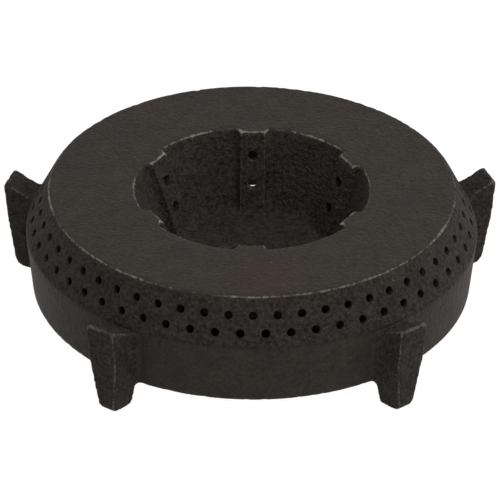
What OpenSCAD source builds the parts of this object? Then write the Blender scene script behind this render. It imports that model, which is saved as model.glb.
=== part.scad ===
// Gas burner head for an open-top range, one iron casting.
// Millimetres. The origin is on the axis in the plane of the skirt's rim, and +Z points up.
// Between the skirt and the inner rim an annular gas chamber, open below, feeds the flame ports
// in the outer band and the ports in the bosses of the central well.

/* [Body] */
// Diameter of the skirt at its widest, just under the port band
body_d = 127; // [118:0.5:140]
// Diameter of the flat top plate
top_d = 114; // [104:0.5:120]
// Height from the rim of the skirt to the top plate
body_h = 31; // [28:0.5:38]
// Height of the sloping port band
band_h = 12.6; // [10:0.2:15]
// Angle by which the skirt narrows towards its rim, as it was drawn from the sand
draft = 5.7; // [2:0.1:8]
// Thickness of the skirt and of the band
wall_t = 4.5; // [3.5:0.1:6]
// Thickness of the top plate
plate_t = 5.5; // [4:0.1:7]

/* [Central well] */
// Diameter of the opening in the top plate
well_d = 66; // [58:0.5:72]
// Depth of the well below the top plate
well_depth = 21.8; // [16:0.2:24]
// Angle by which the wall of the well leans inwards on its way down
well_taper = 22; // [15:0.5:26]
// Thickness of the wall of the well
well_wall_t = 4.5; // [3.5:0.1:6]
// Thickness of the floor of the well
well_floor_t = 4.5; // [3.5:0.1:6]

/* [Well bosses] */
// Number of bosses around the well
boss_count = 6; // [4:1:8]
// Width of the flat face of a boss
boss_w = 7; // [5:0.5:10]
// How far a boss stands in from the wall of the well
boss_reach = 2.4; // [1.5:0.1:4]
// Radius of the fillet at each side of a boss
boss_fillet = 3; // [1.5:0.1:4]
// Diameter of the ports in the bosses
boss_port_d = 3; // [2:0.1:4]
// Depth of the upper boss port below the top plate
boss_port_high = 6.6; // [5:0.1:9]
// Depth of the lower boss port below the top plate
boss_port_low = 14.2; // [12:0.1:16]

/* [Flame ports] */
// Number of ports in each row
port_count = 56; // [40:1:60]
// Diameter of a port
port_d = 2.4; // [1.8:0.1:3]
// Distance of the upper row from the edge of the top plate, measured down the band
port_row_high = 5.2; // [4:0.1:6]
// Distance of the lower row from the edge of the top plate, measured down the band
port_row_low = 10.1; // [9:0.1:11]
// Angle of the first port of the upper row from the front of the burner
port_turn = 0.8; // [0:0.1:3]

/* [Lugs] */
// Number of lugs around the skirt
lug_count = 5; // [3:1:8]
// Angle of the first lug from the +X axis
lug_turn = 19.9; // [0:0.1:72]
// Width of a lug
lug_w = 9; // [7:0.5:12]
// How far the outer top edge of a lug stands out from the widest place of the body
lug_reach = 9.1; // [6.5:0.1:12.5]
// Height of the outer top edge of a lug above the rim
lug_top = 22.2; // [18:0.2:24]
// How far a lug reaches below the rim
lug_drop = 6.6; // [4:0.2:9]
// Width of a lug's foot at its outer end
lug_foot_w = 4.6; // [4:0.2:6]
// Radius of the fillet between a lug and the skirt
lug_fillet = 2.5; // [1.5:0.1:3]

/* [Underside] */
// Height of the rim that stands down from the well and closes the chamber towards the middle
inner_rim_h = 1.2; // [0.8:0.1:1.6]
// Width of the inner rim
inner_rim_w = 4.5; // [3:0.1:6]
// Diameter of the machined seat inside the rim
register_d = 116; // [115:0.1:116.5]
// Depth of the machined seat
register_h = 3; // [2:0.2:4]

/* [Edges] */
// Radius worn on the edges of the top plate
worn_r = 0.8; // [0.4:0.1:1.2]
// Radius of the rim's outer edge
rim_r = 1.8; // [1:0.1:2]
// Radius of the fillets inside the casting
inner_r = 2.5; // [1.5:0.1:3]

/* [Hidden] */

iron = "#3a3632";
arc_steps = 6;
// Radii at the widest place and at the edge of the top plate
body_r = body_d / 2;
top_r = top_d / 2;
// The band runs down and out from the edge of the top plate to the skirt
band_z = body_h - band_h;
band_lean = atan((body_r - top_r) / band_h);
rim_outer_r = body_r - band_z * tan(draft);
// Inner faces of the skirt and of the band, one wall thickness in
skirt_inner_r = rim_outer_r - wall_t / cos(draft);
band_inner_top_r = top_r - wall_t / cos(band_lean);
under_plate_z = body_h - plate_t;
band_inner_r = band_inner_top_r + plate_t * tan(band_lean);
knee_h = (band_inner_top_r + body_h * tan(band_lean) - skirt_inner_r) / (tan(draft) + tan(band_lean));
knee_r = skirt_inner_r + knee_h * tan(draft);
register_r = register_d / 2;
// The well is a cone that leans inwards, with a wall of even thickness
well_r = well_d / 2;
well_floor_z = body_h - well_depth;
well_floor_r = well_r - well_depth * tan(well_taper);
well_back_r = well_r + well_wall_t / cos(well_taper);
under_well_z = well_floor_z - well_floor_t;
function well_back(z) = well_back_r - (body_h - z) * tan(well_taper);
// The inner rim carries the back of the well down to its seat, round a shallow recess
inner_rim_z = under_well_z - inner_rim_h;
inner_rim_r = well_back(inner_rim_z);
recess_r = inner_rim_r - inner_rim_w;
recess_round = inner_rim_h / 3;
// Distance from the axis to the outer top edge of a lug
lug_r = body_r + lug_reach;
boss_pitch = 360 / boss_count;
port_pitch = 360 / port_count;
lug_pitch = 360 / lug_count;
// Drills run this far past the walls that they pierce
clear = 2;

function unit(v) = v / norm(v);
function turn(v) = atan2(v.y, v.x);
function wrap(a) = a > 180 ? a - 360 : a < -180 ? a + 360 : a;
// Points of the round that replaces the corner b between its neighbours a and c
function corner(a, b, c, r) =
    let (u = unit(a - b), v = unit(c - b))
    let (half = acos(u * v) / 2)
    let (centre = b + unit(u + v) * r / sin(half))
    let (from = turn(b + u * r / tan(half) - centre), to = turn(b + v * r / tan(half) - centre))
    let (sweep = wrap(to - from))
    r == 0 ? [b] : [for (i = [0:arc_steps])
        centre + r * [cos(from + sweep * i / arc_steps), sin(from + sweep * i / arc_steps)]];
// An outline whose points are given as [r, z, radius of the round]
function outline(p) = [for (i = [0:len(p) - 1])
    let (a = p[(i + len(p) - 1) % len(p)], b = p[i], c = p[(i + 1) % len(p)])
    each corner([a.x, a.y], [b.x, b.y], [c.x, c.y], b.z)];

// Half section of the casting without its bosses, lugs and ports
module shell_section() {
    polygon(outline([
        [0, well_floor_z, 0],
        [well_floor_r, well_floor_z, inner_r],
        [well_r, body_h, worn_r],
        [top_r, body_h, worn_r],
        [body_r, band_z, worn_r],
        [rim_outer_r, 0, rim_r],
        [register_r, 0, 0],
        [register_r, register_h, 0],
        [skirt_inner_r + register_h * tan(draft), register_h, 0],
        [knee_r, knee_h, inner_r],
        [band_inner_r, under_plate_z, inner_r],
        [well_back(under_plate_z), under_plate_z, inner_r],
        [inner_rim_r, inner_rim_z, worn_r],
        [recess_r, inner_rim_z, recess_round],
        [recess_r, under_well_z, recess_round],
        [0, under_well_z, 0]
    ]));
}

module shell() {
    rotate_extrude($fn = 180) shell_section();
}

// A block from -inner to outer along X, with a fillet at each side where it meets a wall at x = 0
module rib_plan(inner, outer, width, fillet) {
    difference() {
        union() {
            translate([-inner, -width / 2]) square([inner + outer, width]);
            translate([-inner, -width / 2 - fillet]) square([inner + fillet, width + 2 * fillet]);
        }
        for (side = [-1, 1]) {
            translate([fillet, side * (width / 2 + fillet)]) circle(r = fillet, $fn = 32);
        }
    }
}

// A boss leans with the wall of the well and ends at the top plate and in the floor
module well_boss() {
    long = well_depth / cos(well_taper);
    intersection() {
        translate([well_r, 0, body_h]) rotate([0, well_taper, 0]) rotate([0, 0, 180])
            translate([0, 0, -long - clear]) linear_extrude(long + 2 * clear)
                rib_plan(well_wall_t / 2, boss_reach * cos(well_taper), boss_w, boss_fillet);
        translate([0, 0, well_floor_z - well_floor_t / 2])
            cylinder(r = well_back_r, h = well_depth + well_floor_t / 2, $fn = 180);
    }
}

// Side view of a lug: its top rises square to the band, its outer face has the skirt's draft
module lug_side() {
    root_r = rim_outer_r - wall_t / 3;
    foot_r = lug_r - (lug_top + lug_drop) * tan(draft);
    polygon(outline([
        [root_r, 0, 0],
        [rim_outer_r + 0.2, 0, 0],
        [rim_outer_r + 0.6, -lug_drop, 1],
        [foot_r, -lug_drop, 3],
        [lug_r, lug_top, 0.8],
        [root_r, lug_top - (lug_r - root_r) * tan(band_lean), 0]
    ]));
}

// Everything beyond the plane that narrows a lug from its sloping crease down to its foot
module lug_side_cut() {
    crease_low = [rim_outer_r, -1];
    crease_high = [lug_r - 1.2, 10];
    run = crease_high - crease_low;
    slope = atan2(run.y, run.x);
    foot = [lug_r - (lug_top + lug_drop) * tan(draft), -lug_drop] - crease_low;
    below = (foot.x * run.y - foot.y * run.x) / norm(run);
    lean = atan((lug_w - lug_foot_w) / 2 / below);
    big = 2 * lug_r;
    translate([crease_low.x, lug_w / 2, crease_low.y]) rotate([0, -slope, 0]) rotate([-lean, 0, 0])
        translate([-big / 2, 0, -big / 2]) cube(big);
}

module lug() {
    span = lug_w + 2 * lug_fillet;
    difference() {
        intersection() {
            rotate([90, 0, 0]) linear_extrude(span, center = true) lug_side();
            translate([rim_outer_r, 0, 0]) rotate([0, draft, 0]) translate([0, 0, -2 * lug_drop])
                linear_extrude(body_h + 2 * lug_drop)
                    rib_plan(wall_t / 2, 2 * (lug_r - rim_outer_r), lug_w, lug_fillet);
        }
        lug_side_cut();
        mirror([0, 1, 0]) lug_side_cut();
    }
}

// Drills for one row of flame ports, square to the band
module port_row(distance, first) {
    drill = 2 * (wall_t + clear);
    r = top_r + distance * sin(band_lean);
    z = body_h - distance * cos(band_lean);
    for (i = [0:port_count - 1]) {
        rotate([0, 0, first + i * port_pitch]) translate([r, 0, z]) rotate([0, 90 - band_lean, 0])
            cylinder(d = port_d, h = drill, center = true, $fn = 24);
    }
}

// Drills for the two ports of a boss, square to its face
module boss_ports() {
    drill = 2 * (well_wall_t + boss_reach + clear);
    for (depth = [boss_port_high, boss_port_low]) {
        translate([well_r - depth * tan(well_taper), 0, body_h - depth])
            rotate([0, 90 + well_taper, 0])
                cylinder(d = boss_port_d, h = drill, center = true, $fn = 24);
    }
}

module burner_head() {
    color(iron) difference() {
        union() {
            shell();
            for (i = [0:boss_count - 1]) rotate([0, 0, 90 + i * boss_pitch]) well_boss();
            for (i = [0:lug_count - 1]) rotate([0, 0, lug_turn + i * lug_pitch]) lug();
        }
        port_row(port_row_high, port_turn - 90);
        port_row(port_row_low, port_turn - 90 + port_pitch / 2);
        for (i = [0:boss_count - 1]) rotate([0, 0, 90 + i * boss_pitch]) boss_ports();
    }
}

burner_head();
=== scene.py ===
# %% [markdown]
# # A cast-iron gas burner head
# The head of an open-top range burner is one iron casting. Gas fills the ring between its outer
# skirt and the well in the middle, and burns at two rows of small ports in the sloping band and
# at a few ports in the bosses of the well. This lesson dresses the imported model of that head.
# The model comes first, as a fixed frame: everything below is made around it, in metres.

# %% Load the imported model
import math

import bmesh
import bpy
import numpy as np
from mathutils import Matrix, Vector, kdtree


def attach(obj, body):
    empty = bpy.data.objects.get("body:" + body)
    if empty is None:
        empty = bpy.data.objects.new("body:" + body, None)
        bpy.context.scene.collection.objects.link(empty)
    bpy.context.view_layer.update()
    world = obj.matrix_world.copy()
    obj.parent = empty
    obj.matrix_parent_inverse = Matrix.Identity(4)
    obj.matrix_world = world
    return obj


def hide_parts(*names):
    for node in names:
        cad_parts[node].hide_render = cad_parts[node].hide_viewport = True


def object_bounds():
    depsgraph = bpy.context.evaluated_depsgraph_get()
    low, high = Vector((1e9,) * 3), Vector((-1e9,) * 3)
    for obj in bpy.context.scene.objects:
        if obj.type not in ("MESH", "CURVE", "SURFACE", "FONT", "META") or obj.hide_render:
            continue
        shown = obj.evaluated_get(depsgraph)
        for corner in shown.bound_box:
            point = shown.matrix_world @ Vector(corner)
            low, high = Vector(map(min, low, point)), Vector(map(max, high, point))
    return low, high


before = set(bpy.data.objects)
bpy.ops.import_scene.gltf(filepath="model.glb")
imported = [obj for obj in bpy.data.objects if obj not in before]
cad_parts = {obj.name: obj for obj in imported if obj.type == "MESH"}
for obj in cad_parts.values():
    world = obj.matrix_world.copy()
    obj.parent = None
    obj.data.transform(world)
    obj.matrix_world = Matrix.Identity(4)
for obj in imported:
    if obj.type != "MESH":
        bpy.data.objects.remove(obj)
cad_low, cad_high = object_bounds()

print("packed model", [round(c * 1000, 1) for c in cad_high - cad_low], "mm")

# %% [markdown]
# ## The sizes of the head
# The sizes are those of the real head, in millimetres, with the origin on the axis in the plane
# of the skirt's rim. `MM` turns them to metres where a mesh is made.

# %% Body, well, bosses, ports and lugs
MM = 0.001
TOP_R, BODY_R, BODY_H, BAND_H = 57.0, 63.5, 31.0, 12.6
DRAFT = math.radians(5.7)
WALL_T, PLATE_T = 4.5, 5.5
WELL_R, WELL_DEPTH, WELL_TAPER = 33.0, 21.8, math.radians(22)
WELL_WALL_T, WELL_FLOOR_T = 4.5, 4.5
INNER_RIM_H, INNER_RIM_W = 1.2, 4.5
REGISTER_R, REGISTER_H = 58.0, 3.0
WORN_R, RIM_R, INNER_R = 0.8, 1.8, 2.5

BOSSES, BOSS_W, BOSS_REACH, BOSS_FILLET = 6, 7.0, 2.4, 3.0
BOSS_PORT_D, BOSS_PORT_DEPTHS = 3.0, (6.6, 14.2)
PORTS, PORT_D, PORT_ROWS, PORT_TURN = 56, 2.4, (5.2, 10.1), 0.8
LUGS, LUG_TURN, LUG_W, LUG_REACH = 5, 19.9, 9.0, 72.6
LUG_TOP, LUG_DROP, LUG_FOOT_W, LUG_FILLET = 22.2, 6.6, 4.6, 2.5

BAND_LEAN = math.atan((BODY_R - TOP_R) / BAND_H)
BAND_Z = BODY_H - BAND_H
RIM_OUTER_R = BODY_R - BAND_Z * math.tan(DRAFT)
SKIRT_INNER_R = RIM_OUTER_R - WALL_T / math.cos(DRAFT)
WELL_FLOOR_Z = BODY_H - WELL_DEPTH
print("band leans", round(math.degrees(BAND_LEAN), 1), "degrees")

# %% [markdown]
# ## The camera
# The photograph was taken with a long lens from about a metre away, looking down by 32 degrees.
# The camera is built from those values: `forward`, `right` and `up` are its own axes.

# %% The photographer's camera
UNIT = 56.66  # millimetres per unit of the solved camera
CAMERA_AT = (0.0671 * UNIT, -18.4054 * UNIT, BODY_H + 11.1136 * UNIT)
CAMERA_PITCH, CAMERA_YAW, CAMERA_ROLL = 0.557701, -0.00404, 0.009492  # radians
FOCAL_PX, PHOTO_PX, SENSOR_MM = 4353.3, 500, 36.0


def photo_camera():
    """A camera at the photograph's place, angle and lens."""
    data = bpy.data.cameras.new("photo_camera")
    data.sensor_width = SENSOR_MM
    data.lens = FOCAL_PX / PHOTO_PX * SENSOR_MM
    data.clip_start, data.clip_end = 0.01, 20
    camera = bpy.data.objects.new("photo_camera", data)
    bpy.context.scene.collection.objects.link(camera)
    cp, sp = math.cos(CAMERA_PITCH), math.sin(CAMERA_PITCH)
    cy, sy = math.cos(CAMERA_YAW), math.sin(CAMERA_YAW)
    cr, sr = math.cos(CAMERA_ROLL), math.sin(CAMERA_ROLL)
    forward = Vector((sy * cp, cy * cp, -sp))
    level = Vector((cy, -sy, 0))
    above = level.cross(forward)
    right = cr * level + sr * above
    up = cr * above - sr * level
    turn = Matrix((right, up, -forward)).transposed()
    camera.matrix_world = Matrix.Translation(Vector(CAMERA_AT) * MM) @ turn.to_4x4()
    bpy.context.scene.camera = camera
    return camera


camera = photo_camera()
print("lens", round(camera.data.lens), "mm")

# %% [markdown]
# ## Small helpers
# Node trees are long to write by hand, so one function adds a node with its settings and links.
# Another turns an sRGB hex value, as a colour picker shows it, to the linear colour that Blender
# reckons in. `realise` turns what a modifier shows into a plain mesh and takes the modifier off.


# %% Add a node, read a colour, realise a modifier
def add(tree, kind, inputs=None, **settings):
    """Adds a node. inputs maps a socket's name or number to a value or to another socket."""
    node = tree.nodes.new(kind)
    for name, value in settings.items():
        setattr(node, name, value)
    for key, value in (inputs or {}).items():
        if isinstance(value, bpy.types.NodeSocket):
            tree.links.new(value, node.inputs[key])
        else:
            node.inputs[key].default_value = value
    return node


def linear(hex_value):
    """An sRGB hex value such as "3a3632" as a linear colour with alpha 1."""
    parts = [int(hex_value[i : i + 2], 16) / 255 for i in (0, 2, 4)]
    return [c / 12.92 if c <= 0.04045 else ((c + 0.055) / 1.055) ** 2.4 for c in parts] + [1.0]


def new_object(name, mesh):
    made = bpy.data.objects.new(name, mesh)
    bpy.context.scene.collection.objects.link(made)
    return made


def realise(obj):
    """Replaces the mesh of obj by its evaluated mesh, and removes the modifiers."""
    graph = bpy.context.evaluated_depsgraph_get()
    graph.update()
    mesh = bpy.data.meshes.new_from_object(obj.evaluated_get(graph))
    obj.modifiers.clear()
    obj.data = mesh
    return obj


def new_tree(name, sockets):
    """A geometry tree with one geometry input and output, and the named inputs given."""
    tree = bpy.data.node_groups.new(name, "GeometryNodeTree")
    face = tree.interface
    face.new_socket("Geometry", in_out="INPUT", socket_type="NodeSocketGeometry")
    for label, kind, value in sockets:
        socket = face.new_socket(label, in_out="INPUT", socket_type="NodeSocket" + kind)
        if value is not None:
            socket.default_value = value
    face.new_socket("Geometry", in_out="OUTPUT", socket_type="NodeSocketGeometry")
    return tree, add(tree, "NodeGroupInput").outputs, add(tree, "NodeGroupOutput").inputs


def run_tree(obj, tree, **values):
    """Gives obj the tree as a modifier, sets its inputs by identifier, and realises it."""
    names = {label.replace("_", " "): value for label, value in values.items()}
    modifier = obj.modifiers.new(tree.name, "NODES")
    modifier.node_group = tree
    for item in tree.interface.items_tree:
        if item.in_out == "INPUT" and item.name in names:
            modifier[item.identifier] = names.pop(item.name)
    if names:
        raise ValueError(f"{tree.name} has no input named {sorted(names)}")
    return realise(obj)


def calc(tree, operation, a, b=0.0):
    """One arithmetic step in a tree."""
    return add(tree, "ShaderNodeMath", {0: a, 1: b}, operation=operation).outputs[0]


# %% [markdown]
# ## The finish: blackened grey iron, sand cast
# Grey iron comes out of the sand with a fine grainy skin. A burner head then gets a black coat
# and soon carries a brown-black film of oxide and cooked fat: dull, a little warm, hardly shiny.
# The top plate and the skirt were turned, so they are smoother. Where hands and brushes rub the
# edges, the coat is gone and grey metal shows, and a few spots have rusted.
# The patterns read Object coordinates, so they stay on the metal. Four attributes that are
# stored on the mesh later say where the material changes: `edge` on the sharp edges, `turned` on
# the machined faces, `painted_port_shade` on the port walls, painted near black as painted shade,
# and `painted_glint` in the two ports at the back, painted pale metal as a painted highlight.


# %% Patterns in millimetres
def millimetres(tree, stretch=(1, 1, 1)):
    """Object coordinates in millimetres, stretched along an axis where stretch is below 1."""
    where = add(tree, "ShaderNodeTexCoord").outputs["Object"]
    scale = [s / MM for s in stretch]
    return add(tree, "ShaderNodeMapping", {"Vector": where, "Scale": scale}).outputs[0]


def noise(tree, where, size_mm, detail=2.0, seed=0.0, roughness=0.5):
    """Soft noise whose lumps are about size_mm across."""
    node = add(tree, "ShaderNodeTexNoise", {"Vector": where, "W": seed, "Scale": 1 / size_mm,
               "Detail": detail, "Roughness": roughness}, noise_dimensions="4D")
    return node.outputs[0]


def ramp(tree, value, low, high):
    """0 below low, 1 above high, and smooth between them."""
    node = add(tree, "ShaderNodeMapRange", {0: value, 1: low, 2: high},
               interpolation_type="SMOOTHSTEP", clamp=True)
    return node.outputs[0]


def blend(tree, share, first, second):
    """Mixes two colours, each a socket or a linear colour."""
    node = add(tree, "ShaderNodeMix", {0: share, 6: first, 7: second}, data_type="RGBA")
    return node.outputs[2]


def attribute(tree, name):
    return add(tree, "ShaderNodeAttribute", attribute_name=name).outputs["Fac"]


# %% [markdown]
# A stain or a rust spot has a place on the object, so it is a soft ball round a point, broken up
# by noise. Its centre is given in millimetres.


# %% Soft spots at a place
def spot(tree, where, centre, radius, ragged=0.5, seed=0.0):
    """1 near centre and 0 beyond radius, with a ragged edge."""
    away = add(tree, "ShaderNodeVectorMath", {0: where, 1: centre}, operation="DISTANCE")
    lumps = calc(tree, "MULTIPLY", noise(tree, where, radius / 2, 4.0, seed), ragged * radius)
    reach = calc(tree, "ADD", away.outputs["Value"], lumps)
    return calc(tree, "SUBTRACT", 1.0, ramp(tree, reach, radius * 0.5, radius * 1.25))


# %% [markdown]
# The grain is drawn three times: lumps of 3 mm that tint the coat, the sand grain of about 1 mm,
# and a finer one of 0.4 mm. Real moulding sand is 0.2 to 0.3 mm, too fine for this picture, so
# the grain is drawn coarser than it is. The turned faces get the same grain, much weaker.

# %% Colours and sizes of the finish
COAT_DARK, COAT_LIGHT = "15120f", "36302b"
TURNED_DARK, TURNED_LIGHT = "1d1814", "332d27"
# The fourth colour here, for the port walls, is a painted shade: near black.
BARE_IRON, RUST, STAIN, PORT_PAINTED_SHADE = "817a71", "6b3f22", "35231a", "080706"
# This pale metal is a painted highlight, put in the two ports at the back.
PAINTED_GLINT_IRON = "b5b0a8"
TINT_MM, GRAIN_MM, FINE_MM, DRAW_MM = 6.0, 1.1, 0.45, 1.4
STAIN_AT, STAIN_R = (4.0, -47.0, 31.0), 12.0
RUST_SPOTS = (((-70.5, 21.5, 9.0), 2.2), ((69.0, 25.5, 20.0), 3.0))


def cast_iron():
    """Blackened, sand-cast grey iron with worn edges, painted shade in the ports and a painted
    highlight in two of them.
    """
    material = bpy.data.materials.new("blackened_grey_cast_iron")
    material.use_nodes = True
    tree = material.node_tree
    shader = tree.nodes["Principled BSDF"]
    where = millimetres(tree)
    turned = attribute(tree, "turned")
    painted_port_shade = attribute(tree, "painted_port_shade")
    edge = attribute(tree, "edge")

    tint = noise(tree, where, TINT_MM, 4.0, 1.0, 0.6)
    grain = noise(tree, where, GRAIN_MM, 3.0, 2.0, 0.6)
    fine = noise(tree, where, FINE_MM, 1.0, 3.0)
    cast_mix = calc(tree, "ADD", calc(tree, "MULTIPLY", tint, 0.25),
                    calc(tree, "MULTIPLY", grain, 0.75))
    speckle = blend(tree, ramp(tree, cast_mix, 0.32, 0.68), linear(COAT_DARK), linear(COAT_LIGHT))
    turned_mix = calc(tree, "ADD", calc(tree, "MULTIPLY", tint, 0.35),
                      calc(tree, "MULTIPLY", grain, 0.65))
    smooth = blend(tree, ramp(tree, turned_mix, 0.25, 0.75),
                   linear(TURNED_DARK), linear(TURNED_LIGHT))
    colour = blend(tree, turned, speckle, smooth)

    colour = blend(tree, calc(tree, "MULTIPLY", 0.5, spot(tree, where, STAIN_AT, STAIN_R)),
                   colour, linear(STAIN))
    for centre, radius in RUST_SPOTS:
        colour = blend(tree, spot(tree, where, centre, radius, 0.7, 5.0), colour, linear(RUST))

    patches = noise(tree, where, 9.0, 2.0, 6.0)
    broken = noise(tree, where, 1.1, 3.0, 7.0, 0.7)
    wear = calc(tree, "ADD", calc(tree, "MULTIPLY", patches, 0.6), calc(tree, "MULTIPLY", broken, 0.7))
    wear = calc(tree, "ADD", calc(tree, "MULTIPLY", edge, 0.5), wear)
    x, y, z = add(tree, "ShaderNodeSeparateXYZ", {0: where}).outputs
    out = calc(tree, "SQRT", calc(tree, "ADD", calc(tree, "MULTIPLY", x, x),
               calc(tree, "MULTIPLY", y, y)))
    lug_rub = calc(tree, "MULTIPLY", ramp(tree, out, BODY_R, BODY_R + 2), 0.3)
    rubbed = calc(tree, "MAXIMUM", ramp(tree, z, BODY_H - 1.6, BODY_H - 0.6), lug_rub)
    rubbed = calc(tree, "ADD", 0.14, calc(tree, "MULTIPLY", rubbed, 0.86))
    worn = calc(tree, "MULTIPLY", ramp(tree, wear, 0.95, 1.2), ramp(tree, edge, 0.5, 0.85))
    worn = calc(tree, "MULTIPLY", worn, rubbed)
    nicks = calc(tree, "MULTIPLY", ramp(tree, noise(tree, where, 0.8, 2.0, 12.0), 0.68, 0.76), 0.35)
    worn = calc(tree, "MAXIMUM", calc(tree, "MULTIPLY", worn, 0.85), nicks)
    colour = blend(tree, worn, colour, linear(BARE_IRON))
    # Painted shade: the port walls are painted near black.
    colour = blend(tree, painted_port_shade, colour, linear(PORT_PAINTED_SHADE))
    # Painted highlight: the two ports at the back are painted pale, smooth, fully metallic.
    painted_glint = attribute(tree, "painted_glint")
    colour = blend(tree, painted_glint, colour, linear(PAINTED_GLINT_IRON))
    tree.links.new(colour, shader.inputs["Base Color"])

    rough = calc(tree, "SUBTRACT", 0.78, calc(tree, "MULTIPLY", turned, 0.12))
    rough = calc(tree, "SUBTRACT", rough, calc(tree, "MULTIPLY", worn, 0.15))
    rough = calc(tree, "SUBTRACT", rough, calc(tree, "MULTIPLY", painted_glint, 0.4))
    tree.links.new(rough, shader.inputs["Roughness"])
    metal = calc(tree, "MAXIMUM", calc(tree, "MULTIPLY", worn, 0.5), painted_glint)
    tree.links.new(metal, shader.inputs["Metallic"])
    shader.inputs["Specular IOR Level"].default_value = 0.14

    sand = calc(tree, "ADD", grain, calc(tree, "MULTIPLY", fine, 0.55))
    cast_share = calc(tree, "SUBTRACT", 1.0, calc(tree, "MULTIPLY", turned, 0.6))
    sand = calc(tree, "MULTIPLY", sand, cast_share)
    draw = noise(tree, millimetres(tree, (1, 1, 0.06)), DRAW_MM, 2.0, 9.0)
    height = calc(tree, "ADD", sand, calc(tree, "MULTIPLY", draw, 0.25))
    bump = add(tree, "ShaderNodeBump", {"Height": height, "Distance": 1.1 * MM, "Strength": 1.0})
    tree.links.new(bump.outputs[0], shader.inputs["Normal"])
    return material


iron = cast_iron()
print("material", iron.name, len(iron.node_tree.nodes), "nodes")

# %% [markdown]
# ## The turned shell
# Skirt, band, plate, well, floor and gas chamber all share one axis, so they are one half
# section carried round it. The section is written corner by corner, and each corner has the
# radius of its round. Spin would do, but a tree keeps the section apart from the number of steps:
# it takes a flat grid, finds each point's row in the section, and bends the row round the axis.


# %% Half section with its rounds
def rounded(corners, steps=6):
    """Points of an outline whose corners are given as (r, z, radius of the round)."""
    points = []
    for i, (r, z, radius) in enumerate(corners):
        here = Vector((r, z))
        if not radius:
            points.append(here)
            continue
        before = Vector(corners[i - 1][:2])
        after = Vector(corners[(i + 1) % len(corners)][:2])
        u, v = (before - here).normalized(), (after - here).normalized()
        half = math.acos(max(-1, min(1, u.dot(v)))) / 2
        centre = here + (u + v).normalized() * radius / math.sin(half)
        start = here + u * radius / math.tan(half) - centre
        sweep = start.angle_signed(here + v * radius / math.tan(half) - centre)
        for k in range(steps + 1):
            points.append(centre + Matrix.Rotation(-sweep * k / steps, 2) @ start)
    return points


def well_back(z):
    """Radius of the back of the well's wall, on the side of the gas chamber."""
    return WELL_R + WELL_WALL_T / math.cos(WELL_TAPER) - (BODY_H - z) * math.tan(WELL_TAPER)


under_plate = BODY_H - PLATE_T
under_well = WELL_FLOOR_Z - WELL_FLOOR_T
band_inner_top = TOP_R - WALL_T / math.cos(BAND_LEAN)
lean_d, lean_b, lean_w = math.tan(DRAFT), math.tan(BAND_LEAN), math.tan(WELL_TAPER)
knee_z = (band_inner_top + BODY_H * lean_b - SKIRT_INNER_R) / (lean_d + lean_b)
rim_z = under_well - INNER_RIM_H
recess_r = well_back(rim_z) - INNER_RIM_W
SECTION = rounded([
    (0, WELL_FLOOR_Z, 0),
    (WELL_R - WELL_DEPTH * lean_w, WELL_FLOOR_Z, INNER_R),
    (WELL_R, BODY_H, WORN_R),
    (TOP_R, BODY_H, WORN_R),
    (BODY_R, BAND_Z, WORN_R),
    (RIM_OUTER_R, 0, RIM_R),
    (REGISTER_R, 0, 0),
    (REGISTER_R, REGISTER_H, 0),
    (SKIRT_INNER_R + REGISTER_H * lean_d, REGISTER_H, 0),
    (SKIRT_INNER_R + knee_z * lean_d, knee_z, INNER_R),
    (band_inner_top + PLATE_T * lean_b, under_plate, INNER_R),
    (well_back(under_plate), under_plate, INNER_R),
    (well_back(rim_z), rim_z, WORN_R),
    (recess_r, rim_z, INNER_RIM_H / 3),
    (recess_r, under_well, INNER_RIM_H / 3),
    (0, under_well, 0),
])
print("section", len(SECTION), "points")


# %% The tree that carries a section round the axis
def turned_tree():
    tree, given, result = new_tree("turned_shell", [
        ("Steps round", "Int", 256),
        ("Material", "Material", None),
    ])
    size = add(tree, "GeometryNodeAttributeDomainSize", {0: given["Geometry"]})
    columns = calc(tree, "ADD", given["Steps round"], 1)
    grid = add(tree, "GeometryNodeMeshGrid", {
        "Vertices X": size.outputs["Point Count"], "Vertices Y": columns,
    })
    index = add(tree, "GeometryNodeInputIndex").outputs[0]
    row = calc(tree, "FLOOR", calc(tree, "DIVIDE", calc(tree, "ADD", index, 0.5), columns))
    column = calc(tree, "SUBTRACT", index, calc(tree, "MULTIPLY", row, columns))
    angle = calc(tree, "MULTIPLY", calc(tree, "DIVIDE", column, given["Steps round"]), math.tau)
    place = add(tree, "GeometryNodeInputPosition").outputs[0]
    point = add(tree, "GeometryNodeSampleIndex",
                {"Geometry": given["Geometry"], "Value": place, "Index": row},
                data_type="FLOAT_VECTOR")
    along = add(tree, "ShaderNodeSeparateXYZ", {0: point.outputs[0]}).outputs
    x = calc(tree, "MULTIPLY", along["X"], calc(tree, "COSINE", angle))
    y = calc(tree, "MULTIPLY", along["X"], calc(tree, "SINE", angle))
    bent = add(tree, "ShaderNodeCombineXYZ", {"X": x, "Y": y, "Z": along["Z"]}).outputs[0]
    moved = add(tree, "GeometryNodeSetPosition", {0: grid.outputs["Mesh"], "Position": bent})
    whole = add(tree, "GeometryNodeMergeByDistance", {0: moved.outputs[0], "Distance": 1e-6})
    plain = add(tree, "GeometryNodeRealizeInstances", {0: whole.outputs[0]})
    painted = add(tree, "GeometryNodeSetMaterial",
                  {0: plain.outputs[0], "Material": given["Material"]})
    tree.links.new(painted.outputs[0], result[0])
    return tree


def section_object():
    mesh = bpy.data.meshes.new("section")
    mesh.from_pydata([(p.x * MM, 0, p.y * MM) for p in SECTION], [], [])
    return new_object("shell", mesh)


shell = run_tree(section_object(), turned_tree(), Steps_round=256, Material=iron)
print("shell", len(shell.data.polygons), "faces")

# %% [markdown]
# ## Bosses and lugs
# A boss and a lug are the same idea: a block that leans with the wall it grows from, with a
# fillet along each side. One outline serves both, and flat cuts trim the block to its form.


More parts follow.
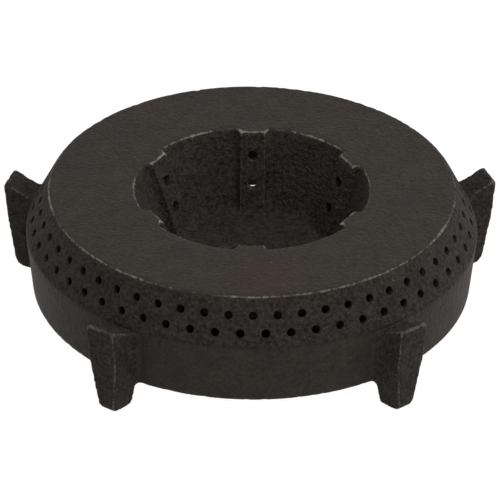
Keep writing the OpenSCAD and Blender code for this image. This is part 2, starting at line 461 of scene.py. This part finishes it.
# %% Blocks with fillets, and flat cuts
def rib_outline(inner, outer, width, fillet, wall_r=math.inf, steps=6):
    """Plan of a block along X, from -inner to outer, with a fillet at each side at x = 0.
    On a round wall that falls away at its sides, wall_r is its radius."""
    side = [(-inner, -width / 2 - fillet)]
    for k in range(steps + 1):
        a = math.pi / 2 * k / steps
        y = -width / 2 - fillet + fillet * math.sin(a)
        fall = y * y / (2 * wall_r) * (1 - k / steps)
        side.append((fillet - fillet * math.cos(a) - fall, y))
    side.append((outer, -width / 2))
    return side + [(x, -y) for x, y in reversed(side)]


def prism(outline, low, high, place=Matrix.Identity(4)):
    """A closed block: the outline drawn up from low to high, then put in place."""
    block = bmesh.new()
    rings = [[block.verts.new(place @ Vector((x, y, z))) for x, y in outline]
             for z in (low, high)]
    count = len(outline)
    block.faces.new(reversed(rings[0]))
    block.faces.new(rings[1])
    for i in range(count):
        j = (i + 1) % count
        block.faces.new((rings[0][i], rings[0][j], rings[1][j], rings[1][i]))
    return block


def slice_off(block, point, normal):
    """Cuts away what lies beyond a plane, on the side its normal points to, and caps the cut."""
    parts = block.verts[:] + block.edges[:] + block.faces[:]
    cut = bmesh.ops.bisect_plane(block, geom=parts, plane_co=point, plane_no=normal,
                                 clear_outer=True)
    rim = [e for e in cut["geom_cut"] if isinstance(e, bmesh.types.BMEdge)]
    bmesh.ops.edgenet_fill(block, edges=rim)


def block_object(name, blocks):
    """One mesh, in metres, from blocks made in millimetres."""
    mesh = bpy.data.meshes.new(name)
    joined = bmesh.new()
    for block in blocks:
        block.to_mesh(mesh)
        joined.from_mesh(mesh)
        block.free()
    bmesh.ops.scale(joined, vec=(MM, MM, MM), verts=joined.verts)
    bmesh.ops.recalc_face_normals(joined, faces=joined.faces)
    joined.to_mesh(mesh)
    joined.free()
    return new_object(name, mesh)


# %% One boss
def boss():
    lean = Matrix.Translation((WELL_R, 0, BODY_H)) @ Matrix.Rotation(WELL_TAPER, 4, "Y")
    face_in = lean @ Matrix.Rotation(math.pi, 4, "Z")
    outline = rib_outline(WELL_WALL_T / 2, BOSS_REACH * math.cos(WELL_TAPER), BOSS_W, BOSS_FILLET)
    block = prism(outline, -WELL_DEPTH / math.cos(WELL_TAPER) - 2, 3, face_in)
    slice_off(block, (0, 0, BODY_H), (0, 0, 1))
    slice_off(block, (0, 0, WELL_FLOOR_Z - 2), (0, 0, -1))
    return block_object("boss", [block])


# %% [markdown]
# The lug is the shape that takes the most care. Seen from the side, its top rises square to the
# band, its outer face has the skirt's draft, and its foot is rounded. Below a sloping crease both
# sides lean in towards the foot.

# %% One lug
FOOT_OUTER_R = LUG_REACH - (LUG_TOP + LUG_DROP) * lean_d
CREASE_LOW, CREASE_HIGH = Vector((RIM_OUTER_R, -1)), Vector((LUG_REACH - 1.2, 10))
crease = CREASE_HIGH - CREASE_LOW
foot = Vector((FOOT_OUTER_R, -LUG_DROP)) - CREASE_LOW
foot_below = (foot.x * crease.y - foot.y * crease.x) / crease.length
FOOT_LEAN = math.atan((LUG_W - LUG_FOOT_W) / 2 / foot_below)


def lug():
    root = RIM_OUTER_R - WALL_T / 3
    top_slope = math.tan(BAND_LEAN)
    side = rounded([
        (root, 0, 0),
        (RIM_OUTER_R + 0.2, 0, 0),
        (RIM_OUTER_R + 0.6, -LUG_DROP, 1),
        (FOOT_OUTER_R, -LUG_DROP, 3),
        (LUG_REACH, LUG_TOP, 0.8),
        (root, LUG_TOP - (LUG_REACH - root) * top_slope, 0),
    ])
    upright = Matrix.Rotation(math.pi / 2, 4, "X")
    core = prism([(p.x, p.y) for p in side], -LUG_W / 2, LUG_W / 2, upright)
    lean = Matrix.Translation((RIM_OUTER_R, 0, 0)) @ Matrix.Rotation(DRAFT, 4, "Y")
    flanks = prism(rib_outline(WALL_T / 2, 5, LUG_W, LUG_FILLET, RIM_OUTER_R), 0, BODY_H, lean)
    rising = (-math.sin(BAND_LEAN), 0, math.cos(BAND_LEAN))
    slice_off(flanks, (LUG_REACH, 0, LUG_TOP), rising)
    below = Vector((crease.y, -crease.x)) / crease.length
    for block in (core, flanks):
        for way in (-1, 1):
            tilt = math.sin(FOOT_LEAN)
            normal = (below.x * tilt, way * math.cos(FOOT_LEAN), below.y * tilt)
            slice_off(block, (CREASE_LOW.x, way * LUG_W / 2, CREASE_LOW.y), normal)
    return block_object("lug", [core, flanks])


# %% The tree that repeats a piece round the axis
def ring_tree():
    tree, given, result = new_tree("copies_round_the_axis", [
        ("Copies", "Int", 5),
        ("First angle", "Float", 0.0),
        ("Material", "Material", None),
    ])
    points = add(tree, "GeometryNodePoints", {"Count": given["Copies"]})
    index = add(tree, "GeometryNodeInputIndex").outputs[0]
    pitch = calc(tree, "DIVIDE", math.tau, given["Copies"])
    angle = calc(tree, "ADD", calc(tree, "MULTIPLY", index, pitch), given["First angle"])
    spin = add(tree, "ShaderNodeCombineXYZ", {"Z": angle}).outputs[0]
    turn = add(tree, "FunctionNodeEulerToRotation", {0: spin}).outputs[0]
    copies = add(tree, "GeometryNodeInstanceOnPoints", {
        "Points": points.outputs[0], "Instance": given["Geometry"], "Rotation": turn,
    })
    plain = add(tree, "GeometryNodeRealizeInstances", {0: copies.outputs[0]})
    painted = add(tree, "GeometryNodeSetMaterial",
                  {0: plain.outputs[0], "Material": given["Material"]})
    tree.links.new(painted.outputs[0], result[0])
    return tree


ring = ring_tree()
bosses = run_tree(boss(), ring, Copies=BOSSES, First_angle=math.radians(90), Material=iron)
lugs = run_tree(lug(), ring, Copies=LUGS, First_angle=math.radians(LUG_TURN), Material=iron)
print("bosses", len(bosses.data.polygons), "faces, lugs", len(lugs.data.polygons), "faces")

# %% [markdown]
# ## From blocks to a casting
# Blocks that only overlap have razor edges where they meet. A casting has none: the sand rounds
# every corner. A voxel remesh fuses the blocks into one skin of even small faces, and a little
# smoothing gives each edge and root the soft turn of cast iron. The lugs, which take the knocks,
# are rounder than the body, so they are smoothed more.

# %% Fuse and soften
VOXEL_MM = 0.42



def arrays(mesh):
    """Points, normals and the pairs of points that the edges join, as arrays."""
    count = len(mesh.vertices)
    co, normal = np.empty(count * 3), np.empty(count * 3)
    mesh.vertices.foreach_get("co", co)
    mesh.vertices.foreach_get("normal", normal)
    pairs = np.empty(len(mesh.edges) * 2, int)
    mesh.edges.foreach_get("vertices", pairs)
    return co.reshape(-1, 3), normal.reshape(-1, 3), pairs.reshape(-1, 2)


def fuse(name, parts):
    bm = bmesh.new()
    for part in parts:
        bm.from_mesh(part.data)
    mesh = bpy.data.meshes.new(name)
    bm.to_mesh(mesh)
    bm.free()
    for part in parts:
        bpy.data.objects.remove(part)
    whole = new_object(name, mesh)
    remesh = whole.modifiers.new("sand", "REMESH")
    remesh.mode, remesh.voxel_size = "VOXEL", VOXEL_MM * MM
    soften = whole.modifiers.new("soften", "SMOOTH")
    soften.factor, soften.iterations = 0.5, 6
    realise(whole)
    co, _, _ = arrays(whole.data)
    out = np.hypot(co[:, 0], co[:, 1]) / MM
    lug_points = np.flatnonzero((out > BODY_R + 1) | (co[:, 2] < -1 * MM))
    whole.vertex_groups.new(name="lugs").add(lug_points.tolist(), 1.0, "REPLACE")
    soften = whole.modifiers.new("soften_lugs", "SMOOTH")
    soften.factor, soften.iterations, soften.vertex_group = 0.5, 16, "lugs"
    realise(whole)
    whole.vertex_groups.clear()
    return whole


casting = fuse("burner_casting", [shell, bosses, lugs])
print("casting", len(casting.data.polygons), "faces")

# %% [markdown]
# ## Where the edges are
# Wear follows the edges, and the skin now has about as many edges as a real one: every lug,
# boss and rim. Rather than list them, the script measures them. A point stands proud if its
# neighbours lie below its own tangent plane, so the mean of that drop is large on an edge, zero
# on a flat and negative in a corner.


# %% Measure how far each point stands proud
def spread(values, pairs, rounds):
    """Averages values with their neighbours', a few times over."""
    count = np.bincount(pairs.ravel(), minlength=len(values))
    for _ in range(rounds):
        total = values.copy()
        np.add.at(total, pairs[:, 0], values[pairs[:, 1]])
        np.add.at(total, pairs[:, 1], values[pairs[:, 0]])
        values = total / (count + 1)
    return values


def proud(mesh, rounds):
    co, normal, pairs = arrays(mesh)
    step = co[pairs[:, 1]] - co[pairs[:, 0]]
    length = np.linalg.norm(step, axis=1) + 1e-12
    drop = np.zeros(len(co))
    np.add.at(drop, pairs[:, 0], -(step * normal[pairs[:, 0]]).sum(1) / length)
    np.add.at(drop, pairs[:, 1], (step * normal[pairs[:, 1]]).sum(1) / length)
    drop /= np.maximum(np.bincount(pairs.ravel(), minlength=len(co)), 1)
    return spread(drop, pairs, rounds)


def store(mesh, name, values):
    layer = mesh.attributes.get(name) or mesh.attributes.new(name, "FLOAT", "POINT")
    layer.data.foreach_set("value", np.asarray(values, np.float32))


def turned_share(co):
    """1 on the top plate and the skirt, which were turned, and 0 on the sand-cast faces."""
    r = np.hypot(co[:, 0], co[:, 1]) / MM
    z = co[:, 2] / MM
    plate = (z > BODY_H - 0.35) & (r > WELL_R - BOSS_REACH - 1)
    wall = RIM_OUTER_R + z * lean_d
    skirt = (abs(r - wall) < 0.5) & (z < BAND_Z)
    return (plate | skirt).astype(float)


def mark(mesh):
    co, normal, pairs = arrays(mesh)
    edge = np.clip(proud(mesh, 1) / 0.09, 0, 1)
    store(mesh, "edge", edge)
    turned = spread(turned_share(co), pairs, 2)
    store(mesh, "turned", turned)
    return edge, turned


edge, turned = mark(casting.data)
print("edge points", int((edge > 0.5).sum()), "turned points", int((turned > 0.5).sum()))

# %% [markdown]
# ## The skin of the sand
# Sand-cast faces are never quite flat: they carry shallow waves a few millimetres across and a
# grain that shows against the light. Edges lose small chips when heads are knocked together.
# The tree moves every point along its normal by noise of a given size and height. The turned
# faces keep a quarter of it, and the chips bite only where `edge` is high.


# %% The tree that roughens the skin
def skin_tree():
    tree, given, result = new_tree("sand_skin", [
        ("Wave size", "Float", 6.0),
        ("Wave height", "Float", 0.1),
        ("Grain size", "Float", 1.5),
        ("Grain height", "Float", 0.05),
        ("Chip size", "Float", 1.6),
        ("Chip depth", "Float", 0.4),
        ("Seed", "Int", 11),
        ("Material", "Material", None),
    ])
    place = add(tree, "GeometryNodeInputPosition").outputs[0]
    inch = add(tree, "ShaderNodeVectorMath", {0: place, "Scale": 1 / MM}, operation="SCALE")
    where = inch.outputs[0]

    def lumps(size, seed_step, detail):
        node = add(tree, "ShaderNodeTexNoise", {
            "Vector": where,
            "W": calc(tree, "ADD", given["Seed"], seed_step),
            "Scale": calc(tree, "DIVIDE", 1.0, size),
            "Detail": detail,
        }, noise_dimensions="4D")
        return calc(tree, "SUBTRACT", node.outputs[0], 0.5)

    def named(name):
        return add(tree, "GeometryNodeInputNamedAttribute", {0: name},
                   data_type="FLOAT").outputs[0]

    wave = calc(tree, "MULTIPLY", lumps(given["Wave size"], 0.0, 1.0), given["Wave height"])
    grain = calc(tree, "MULTIPLY", lumps(given["Grain size"], 3.1, 1.0), given["Grain height"])
    skin = calc(tree, "MULTIPLY", calc(tree, "ADD", wave, grain), 2.0)
    kept = calc(tree, "SUBTRACT", 1.0, calc(tree, "MULTIPLY", named("turned"), 0.75))
    skin = calc(tree, "MULTIPLY", skin, kept)
    bite = calc(tree, "MAXIMUM", lumps(given["Chip size"], 7.7, 2.0), 0.0)
    bite = calc(tree, "MULTIPLY", calc(tree, "MULTIPLY", bite, 5.0), given["Chip depth"])
    bite = calc(tree, "MULTIPLY", bite, named("edge"))
    height = calc(tree, "MULTIPLY", calc(tree, "SUBTRACT", skin, bite), MM)
    normal = add(tree, "GeometryNodeInputNormal").outputs[0]
    shift = add(tree, "ShaderNodeVectorMath", {0: normal, "Scale": height}, operation="SCALE")
    moved = add(tree, "GeometryNodeSetPosition", {0: given["Geometry"], "Offset": shift.outputs[0]})
    plain = add(tree, "GeometryNodeRealizeInstances", {0: moved.outputs[0]})
    painted = add(tree, "GeometryNodeSetMaterial",
                  {0: plain.outputs[0], "Material": given["Material"]})
    tree.links.new(painted.outputs[0], result[0])
    return tree


casting = run_tree(casting, skin_tree(), Wave_height=0.08, Grain_height=0.04, Chip_depth=0.22,
                   Material=iron)
print("skin", len(casting.data.vertices), "points")

# %% [markdown]
# ## Fewer faces
# The even skin has far more faces than its flats need. Collapsing the ones that matter least
# keeps the rounds and the chips, and brings the piece under 200,000 triangles with room for the
# ports. The marks for edges are read again afterwards, from the nearest point of the full skin.

# %% Thin the mesh
FACE_BUDGET = 150_000


def nearest_reader(mesh):
    """A function that reads the named marks of the nearest point of mesh."""
    co, _, _ = arrays(mesh)
    tree = kdtree.KDTree(len(co))
    for i, point in enumerate(co):
        tree.insert(point, i)
    tree.balance()
    marks = {}
    for name in ("edge", "turned"):
        values = np.empty(len(co), np.float32)
        mesh.attributes[name].data.foreach_get("value", values)
        marks[name] = values

    def read(points, name):
        return marks[name][[tree.find(p)[1] for p in points]]

    return read


read_mark = nearest_reader(casting.data)
thin = casting.modifiers.new("thin", "DECIMATE")
thin.ratio = FACE_BUDGET / (2 * len(casting.data.polygons))
casting = realise(casting)
print("thinned to", len(casting.data.polygons), "triangles")

# %% [markdown]
# ## The ports
# The ports are drilled after casting, square to the surface, so their edges are crisp. Each row
# is a ring of drills: a tree puts the drills round the axis, leans them square to the band, and
# takes them out of the casting with a Boolean. A short cone at the mouth breaks the edge, as a
# drill that just touches does.


# %% The tree that drills a ring of ports
def drill_tree():
    tree, given, result = new_tree("ring_of_ports", [
        ("Ports", "Int", 56),
        ("First angle", "Float", 0.0),
        ("Radius", "Float", 0.06),
        ("Height", "Float", 0.02),
        ("Lean", "Float", 0.0),
        ("Diameter", "Float", 0.0024),
        ("Length", "Float", 0.012),
        ("Mouth", "Float", 0.0002),
        ("Sides", "Int", 20),
        ("Material", "Material", None),
    ])
    half = calc(tree, "MULTIPLY", given["Diameter"], 0.5)
    drill = add(tree, "GeometryNodeMeshCylinder", {
        "Vertices": given["Sides"], "Radius": half, "Depth": given["Length"],
    })
    wide = calc(tree, "ADD", half, calc(tree, "MULTIPLY", given["Mouth"], 2.0))
    cone = add(tree, "GeometryNodeMeshCone", {
        "Vertices": given["Sides"], "Radius Top": wide,
        "Radius Bottom": calc(tree, "SUBTRACT", half, calc(tree, "MULTIPLY", given["Mouth"], 2)),
        "Depth": calc(tree, "MULTIPLY", given["Mouth"], 4.0),
    })
    drop = add(tree, "ShaderNodeCombineXYZ", {"Z": calc(tree, "MULTIPLY", given["Mouth"], -2.0)})
    mouth = add(tree, "GeometryNodeTransform",
                {0: cone.outputs[0], "Translation": drop.outputs[0]})
    points = add(tree, "GeometryNodePoints", {"Count": given["Ports"]})
    index = add(tree, "GeometryNodeInputIndex").outputs[0]
    pitch = calc(tree, "DIVIDE", math.tau, given["Ports"])
    angle = calc(tree, "ADD", calc(tree, "MULTIPLY", index, pitch), given["First angle"])
    x = calc(tree, "MULTIPLY", given["Radius"], calc(tree, "COSINE", angle))
    y = calc(tree, "MULTIPLY", given["Radius"], calc(tree, "SINE", angle))
    spot_at = add(tree, "ShaderNodeCombineXYZ", {"X": x, "Y": y, "Z": given["Height"]})
    placed = add(tree, "GeometryNodeSetPosition",
                 {0: points.outputs[0], "Position": spot_at.outputs[0]})
    spin = add(tree, "ShaderNodeCombineXYZ", {"Y": given["Lean"], "Z": angle}).outputs[0]
    turn = add(tree, "FunctionNodeEulerToRotation", {0: spin}).outputs[0]
    solid = given["Geometry"]
    for tool in (drill.outputs[0], mouth.outputs[0]):
        tools = add(tree, "GeometryNodeInstanceOnPoints", {
            "Points": placed.outputs[0], "Instance": tool, "Rotation": turn,
        })
        plain = add(tree, "GeometryNodeRealizeInstances", {0: tools.outputs[0]})
        cut = add(tree, "GeometryNodeMeshBoolean", {0: solid, 1: plain.outputs[0]},
                  operation="DIFFERENCE", solver="MANIFOLD")
        solid = cut.outputs[0]
    whole = add(tree, "GeometryNodeRealizeInstances", {0: solid})
    painted = add(tree, "GeometryNodeSetMaterial",
                  {0: whole.outputs[0], "Material": given["Material"]})
    tree.links.new(painted.outputs[0], result[0])
    return tree


# %% Drill the two rows of the band and the two of the bosses
def port_rings():
    """Count, first angle, radius, height, lean and diameter of each ring of ports."""
    front = math.radians(PORT_TURN - 90)
    for row, distance in enumerate(PORT_ROWS):
        yield (PORTS, front + row * math.pi / PORTS,
               TOP_R + distance * math.sin(BAND_LEAN), BODY_H - distance * math.cos(BAND_LEAN),
               math.pi / 2 - BAND_LEAN, PORT_D)
    for depth in BOSS_PORT_DEPTHS:
        yield (BOSSES, math.pi / 2, WELL_R - BOSS_REACH - depth * lean_w, BODY_H - depth,
               -(math.pi / 2 - WELL_TAPER), BOSS_PORT_D)


drill = drill_tree()
DRILL_LENGTH = 18.0
for count, first, radius, height, lean, size in port_rings():
    casting = run_tree(casting, drill, Ports=count, First_angle=first, Radius=radius * MM,
                       Height=height * MM, Lean=lean, Diameter=size * MM,
                       Length=DRILL_LENGTH * MM, Mouth=0.12 * MM, Material=iron)
    print(count, "ports at", round(radius, 1), "mm:", len(casting.data.polygons), "faces")

# %% [markdown]
# ## Finish the mesh
# Points that the skin pushed past the imported box, such as those under the feet, go back to it.
# The marks go back on, the inside of each port is marked by its distance from the drill's axis,
# for the painted shade in the ports and the painted highlight in the two at the back, and faces
# are shaded smooth except across the crisp edges of the ports.


# %% Marks, shading and the frame's calls
def port_share(co, diameter, only=None):
    """1 on the wall of a port of this diameter, below its mouth, and 0 elsewhere.
    only keeps to the first ports of each ring."""
    share = np.zeros(len(co))
    for count, first, radius, height, lean, size in port_rings():
        if size != diameter:
            continue
        way = math.pi / 2 - abs(lean)
        for i in range(only or count):
            a = first + i * math.tau / count
            out = np.array((math.cos(a), math.sin(a), 0.0))
            side = 1 if lean > 0 else -1
            axis = side * out * math.cos(way) + np.array((0, 0, math.sin(way)))
            rel = co / MM - (out * radius + np.array((0, 0, height)))
            along = rel @ axis
            off = np.linalg.norm(rel - along[:, None] * axis, axis=1)
            share[(off < size / 2 + 0.05) & (along < -0.5) & (along > -9)] = 1
    return share


def finish_mesh(obj):
    mesh = obj.data
    co, _, _ = arrays(mesh)
    co = np.clip(co, list(cad_low), list(cad_high))
    mesh.vertices.foreach_set("co", co.ravel())
    store(mesh, "edge", read_mark(co, "edge"))
    store(mesh, "turned", read_mark(co, "turned"))
    boss_walls = port_share(co, BOSS_PORT_D)
    glint_walls = port_share(co, BOSS_PORT_D, only=1)
    # Painted shade on the port walls, apart from the two ports at the back.
    store(mesh, "painted_port_shade", port_share(co, PORT_D) + boss_walls - glint_walls)
    # Painted highlight in the two ports of the boss at the back.
    store(mesh, "painted_glint", glint_walls)
    mesh.shade_smooth()
    mesh.set_sharp_from_angle(angle=math.radians(48))
    mesh.materials.clear()
    mesh.materials.append(iron)
    return obj


finish_mesh(casting)
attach(casting, "root")
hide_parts("burner_head")
print("casting", sum(len(p.vertices) - 2 for p in casting.data.polygons), "triangles")

# %% [markdown]
# ## Floor and light
# The head stands on its lugs on a white sweep, in the even light of a tent. The floor shows
# white to the camera and in reflections, and keeps a soft shadow where the head stands. Right
# under the head it is painted dark, a painted shadow, so nothing white shows through the ports.
# From below it is clear, so that the underside can be looked at.


# %% White floor with a soft shadow
def white_to_the_eye(tree):
    """1 for camera, glossy and transmission rays, else 0."""
    path = add(tree, "ShaderNodeLightPath").outputs
    seen = calc(tree, "MAXIMUM", path["Is Camera Ray"], path["Is Glossy Ray"])
    return calc(tree, "MAXIMUM", seen, path["Is Transmission Ray"])


# Radius of the painted shadow: inside it the floor is painted dark under the head.
SHADE_R = 48.0  # millimetres, well inside the skirt


def floor():
    mesh = bpy.data.meshes.new("floor")
    half = 3.0
    mesh.from_pydata([(-half, -half, 0), (half, -half, 0), (half, half, 0), (-half, half, 0)],
                     [], [(0, 1, 2, 3)])
    material = bpy.data.materials.new("white_sweep")
    material.use_nodes = True
    tree = material.node_tree
    tree.nodes.remove(tree.nodes["Principled BSDF"])
    glow = add(tree, "ShaderNodeEmission", {"Color": (1, 1, 1, 1), "Strength": 1.06})
    off_axis = add(tree, "ShaderNodeVectorMath", {0: millimetres(tree), 1: (0, 0, 0)},
                   operation="DISTANCE").outputs["Value"]
    # Inside SHADE_R the floor is painted dark grey and loses its white glow: a painted shadow under
    # the head.
    open_floor = ramp(tree, off_axis, SHADE_R - 6, SHADE_R)
    floor_with_painted_shadow = blend(tree, open_floor, linear("3a3836"), linear("f4f4f4"))
    paper = add(tree, "ShaderNodeBsdfDiffuse", {"Color": floor_with_painted_shadow})
    share = calc(tree, "MULTIPLY", calc(tree, "MULTIPLY", white_to_the_eye(tree), 0.93), open_floor)
    mixed = add(tree, "ShaderNodeMixShader", {0: share, 1: paper.outputs[0], 2: glow.outputs[0]})
    below = add(tree, "ShaderNodeNewGeometry").outputs["Backfacing"]
    clear = add(tree, "ShaderNodeBsdfTransparent")
    sided = add(tree, "ShaderNodeMixShader", {0: below, 1: mixed.outputs[0], 2: clear.outputs[0]})
    tree.links.new(sided.outputs[0], tree.nodes["Material Output"].inputs["Surface"])
    mesh.materials.append(material)
    made = new_object("floor", mesh)
    made.location.z = cad_low.z
    return made


floor()


# %% The tent and one large lamp
def tent(strength):
    world = bpy.data.worlds.new("tent")
    bpy.context.scene.world = world
    world.use_nodes = True
    tree = world.node_tree
    seen = white_to_the_eye(tree)
    level = calc(tree, "ADD", strength, calc(tree, "MULTIPLY", seen, 1.0 - strength))
    back = tree.nodes["Background"]
    back.inputs["Color"].default_value = (1, 1, 1, 1)
    tree.links.new(level, back.inputs["Strength"])


def lamp(name, place, size, watts):
    data = bpy.data.lights.new(name, "AREA")
    data.shape, data.size, data.energy = "DISK", size, watts
    made = bpy.data.objects.new(name, data)
    bpy.context.scene.collection.objects.link(made)
    made.location = place
    made.rotation_mode = "QUATERNION"
    made.rotation_quaternion = (-Vector(place)).to_track_quat("-Z", "Y")


tent(0.42)
lamp("key", (0.4, -0.5, 1.1), 0.7, 9)
lamp("fill", (0.9, 0.2, 0.5), 0.5, 3)
bpy.context.scene.view_settings.view_transform = "Standard"
